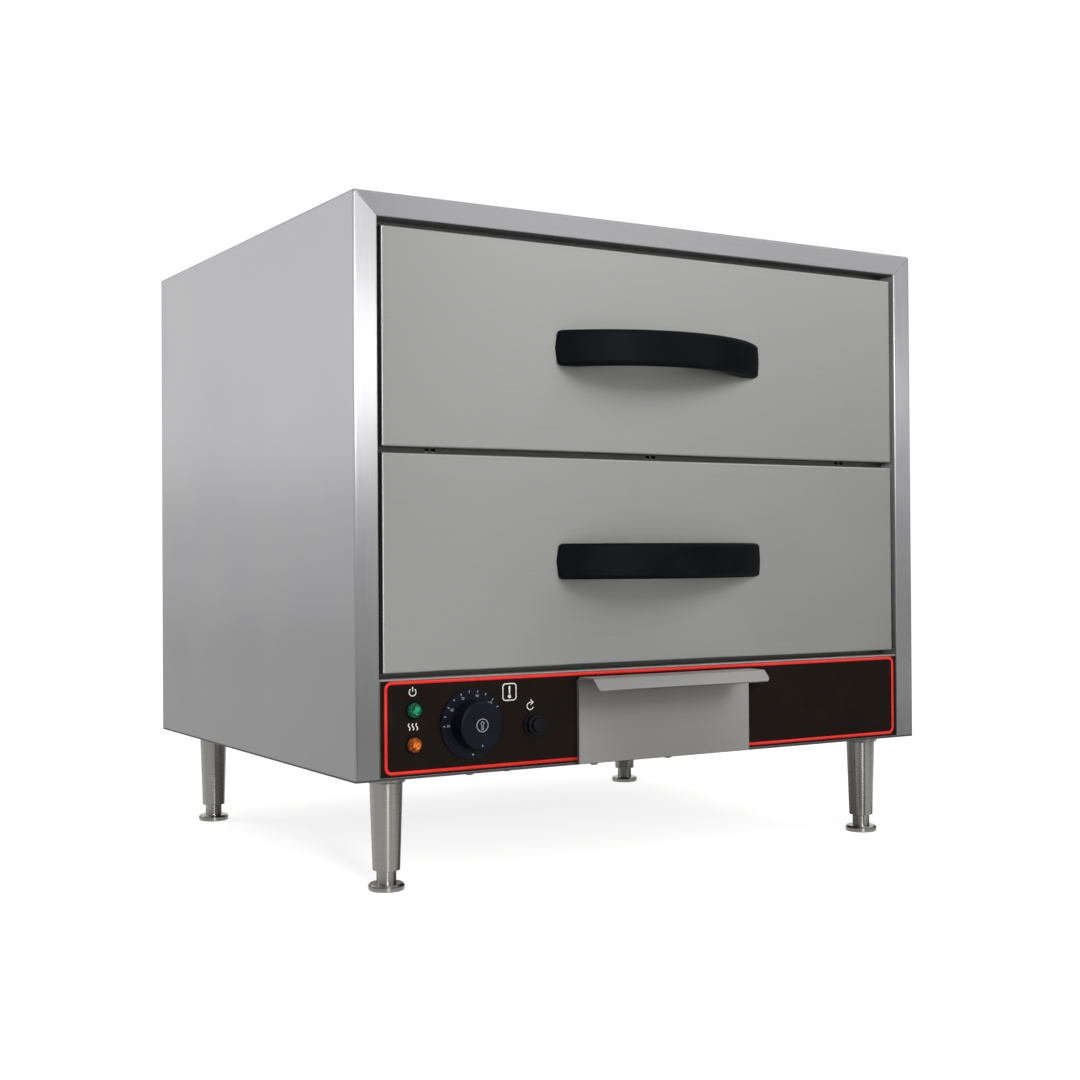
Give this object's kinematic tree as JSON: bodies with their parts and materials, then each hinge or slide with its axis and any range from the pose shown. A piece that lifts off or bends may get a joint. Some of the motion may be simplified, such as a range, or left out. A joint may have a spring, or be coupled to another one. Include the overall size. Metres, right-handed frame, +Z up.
{
  "type": "countertop warming drawer",
  "caption": "Stainless countertop warming cabinet with stacked pull-out heated drawers, bowed black handles, thermostat panel, pull-out lower tray and screw-adjustable legs.",
  "frame": {"origin": "on the table, under the middle of the whole object's box, handles and gland included", "axes": "+X to the right of someone facing the drawers, +Y from the front to the rear, +Z up"},
  "size_m": [0.7, 0.64, 0.661],
  "materials": {
    "shell_steel": "fine vertical brushing, satin",
    "base_steel": "satin mill finish",
    "liner_steel": "satin mill finish",
    "fascia_steel": "fine brushing, satin",
    "overlay_film": "printed polyester film, black with a red border",
    "insulation_wool": "mineral wool",
    "heater_sheath": "heat-darkened nickel steel sheath",
    "lamp_body": "moulded black",
    "green_lens": "faceted translucent green",
    "orange_lens": "faceted translucent orange",
    "control_plastic": "moulded thermoset, satin black",
    "button_plastic": "moulded black",
    "switch_body": "moulded pale thermoset",
    "spindle_brass": "turned",
    "capillary_copper": "drawn copper tube",
    "terminal_ceramic": "glazed ceramic",
    "gland_plastic": "moulded nylon",
    "tray_steel": "fine brushing, satin",
    "leg_steel": "turned and brushed",
    "foot_steel": "turned and brushed",
    "slide_steel": "bright roll-formed strip",
    "face_steel": "fine brushing, satin",
    "drawer_frame_steel": "satin mill finish",
    "pan_steel": "drawn, bright satin",
    "handle_plastic": "moulded black, satin",
    "red_ink": "screen-printed red line",
    "pale_ink": "screen-printed pale marks",
    "screw_steel": "cold-headed screws"
  },
  "bodies": {
    "cabinet": {"base_pan": "base_steel", "cabinet_shell": "shell_steel", "control_fascia": "fascia_steel", "cord_gland": "gland_plastic", "dial_ring": "control_plastic", "divider_shelf": "liner_steel", "face_frame": "liner_steel", "fascia_overlay": "overlay_film", "heat_lamp": "lamp_body", "heat_lens": "orange_lens", "insulation": "insulation_wool", "leg_front_left": "leg_steel", "leg_front_right": "leg_steel", "leg_rear_left": "leg_steel", "leg_rear_right": "leg_steel", "liner_left": "liner_steel", "liner_rear": "liner_steel", "liner_right": "liner_steel", "liner_roof": "liner_steel", "lower_deck": "liner_steel", "lower_heater": "heater_sheath", "lower_slide_outer_left": "slide_steel", "lower_slide_outer_right": "slide_steel", "power_lamp": "lamp_body", "power_lens": "green_lens", "rear_panel": "shell_steel", "reset_collar": "control_plastic", "reset_switch": "switch_body", "terminal_block": "terminal_ceramic", "thermostat_body": "switch_body", "thermostat_capillary": "capillary_copper", "tray_channel": "tray_steel", "upper_heater": "heater_sheath", "upper_slide_outer_left": "slide_steel", "upper_slide_outer_right": "slide_steel"},
    "upper_drawer": {"upper_drawer_face": "face_steel", "upper_drawer_frame": "drawer_frame_steel", "upper_food_pan": "pan_steel", "upper_handle": "handle_plastic", "upper_slide_inner_left": "slide_steel", "upper_slide_inner_right": "slide_steel"},
    "upper_left_slide_middle": {"upper_slide_middle_left": "slide_steel"},
    "upper_right_slide_middle": {"upper_slide_middle_right": "slide_steel"},
    "lower_drawer": {"lower_drawer_face": "face_steel", "lower_drawer_frame": "drawer_frame_steel", "lower_food_pan": "pan_steel", "lower_handle": "handle_plastic", "lower_slide_inner_left": "slide_steel", "lower_slide_inner_right": "slide_steel"},
    "lower_left_slide_middle": {"lower_slide_middle_left": "slide_steel"},
    "lower_right_slide_middle": {"lower_slide_middle_right": "slide_steel"},
    "tray": {"tray_front": "tray_steel", "tray_pan": "tray_steel"},
    "knob": {"thermostat_knob": "control_plastic", "thermostat_spindle": "spindle_brass"},
    "reset_button": {"reset_button": "button_plastic"},
    "foot_front_left": {"foot_front_left": "foot_steel"},
    "foot_front_right": {"foot_front_right": "foot_steel"},
    "foot_rear_left": {"foot_rear_left": "foot_steel"},
    "foot_rear_right": {"foot_rear_right": "foot_steel"}
  },
  "joints": [
    {"name": "upper_drawer_slide", "type": "slide", "parent": "cabinet", "child": "upper_drawer", "axis": [0, -1, 0], "range_m": [0, 0.44]},
    {"name": "upper_left_middle_slide", "type": "slide", "parent": "cabinet", "child": "upper_left_slide_middle", "axis": [0, -1, 0], "range_m": [0, 0.22]},
    {"name": "upper_right_middle_slide", "type": "slide", "parent": "cabinet", "child": "upper_right_slide_middle", "axis": [0, -1, 0], "range_m": [0, 0.22]},
    {"name": "lower_drawer_slide", "type": "slide", "parent": "cabinet", "child": "lower_drawer", "axis": [0, -1, 0], "range_m": [0, 0.44]},
    {"name": "lower_left_middle_slide", "type": "slide", "parent": "cabinet", "child": "lower_left_slide_middle", "axis": [0, -1, 0], "range_m": [0, 0.22]},
    {"name": "lower_right_middle_slide", "type": "slide", "parent": "cabinet", "child": "lower_right_slide_middle", "axis": [0, -1, 0], "range_m": [0, 0.22]},
    {"name": "tray_slide", "type": "slide", "parent": "cabinet", "child": "tray", "axis": [0, -1, 0], "range_m": [0, 0.34]},
    {"name": "thermostat_turn", "type": "hinge", "parent": "cabinet", "child": "knob", "pos_m": [-0.228, -0.2715, 0.1575], "axis": [0, 1, 0], "range_deg": [0, 240]},
    {"name": "reset_push", "type": "slide", "parent": "cabinet", "child": "reset_button", "axis": [0, 1, 0], "range_m": [0, 0.003], "stiffness_N_per_m": 900, "springref_m": -0.001},
    {"name": "foot_front_left_screw", "type": "slide", "parent": "cabinet", "child": "foot_front_left", "axis": [0, 0, -1], "range_m": [0, 0.025]},
    {"name": "foot_front_right_screw", "type": "slide", "parent": "cabinet", "child": "foot_front_right", "axis": [0, 0, -1], "range_m": [0, 0.025]},
    {"name": "foot_rear_left_screw", "type": "slide", "parent": "cabinet", "child": "foot_rear_left", "axis": [0, 0, -1], "range_m": [0, 0.025]},
    {"name": "foot_rear_right_screw", "type": "slide", "parent": "cabinet", "child": "foot_rear_right", "axis": [0, 0, -1], "range_m": [0, 0.025]}
  ],
  "couplings": [
    {"joint": "upper_left_middle_slide", "follows": "upper_drawer_slide", "ratio": 0.5},
    {"joint": "upper_right_middle_slide", "follows": "upper_drawer_slide", "ratio": 0.5},
    {"joint": "lower_left_middle_slide", "follows": "lower_drawer_slide", "ratio": 0.5},
    {"joint": "lower_right_middle_slide", "follows": "lower_drawer_slide", "ratio": 0.5}
  ]
}
